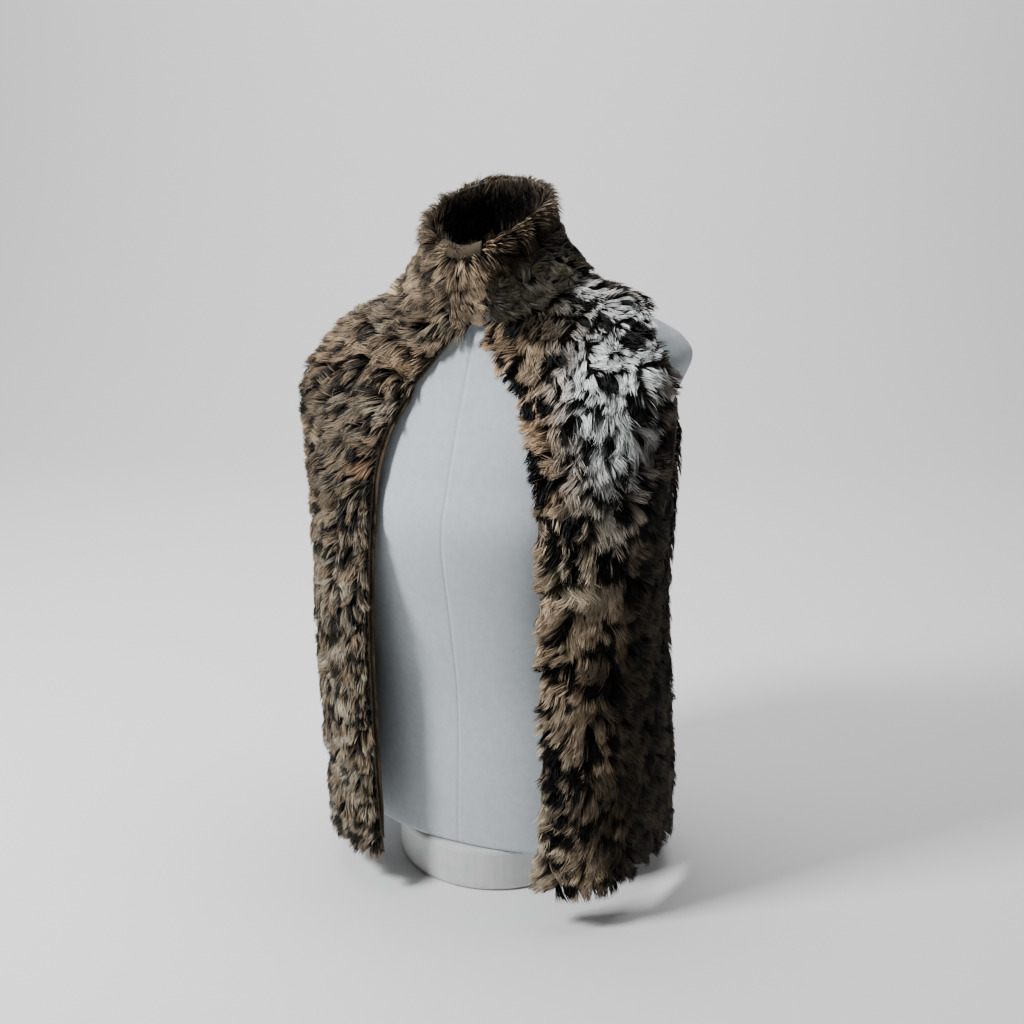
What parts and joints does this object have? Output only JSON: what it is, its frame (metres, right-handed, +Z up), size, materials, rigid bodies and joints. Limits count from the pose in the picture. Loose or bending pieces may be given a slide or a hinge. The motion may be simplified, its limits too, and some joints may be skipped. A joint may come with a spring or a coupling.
{
  "type": "faux fur vest on dress form",
  "caption": "Sleeveless long-pile animal-print vest with a funnel collar, worn open on a smooth limbless dress form.",
  "frame": {"origin": "centre of the foot's flat underside", "axes": "+Z up along the form's upright axis, -Y out of the vest's open front, +X towards the wearer's left"},
  "size_m": [0.3896, 0.2797, 0.6953],
  "materials": {
    "fur": "long-pile faux fur, spotted",
    "collar_fur": "long-pile faux fur, dark",
    "facing_cloth": "plain brown cloth, overlocked edge",
    "form_cloth": "fine pale jersey",
    "foot_lacquer": "satin"
  },
  "bodies": {
    "root": {"back_panel": "fur", "right_front_panel": "fur", "left_front_panel": "fur", "collar": "collar_fur", "collar_tab": "facing_cloth", "right_front_facing": "facing_cloth", "form_torso": "form_cloth", "form_foot": "foot_lacquer"}
  },
  "joints": []
}
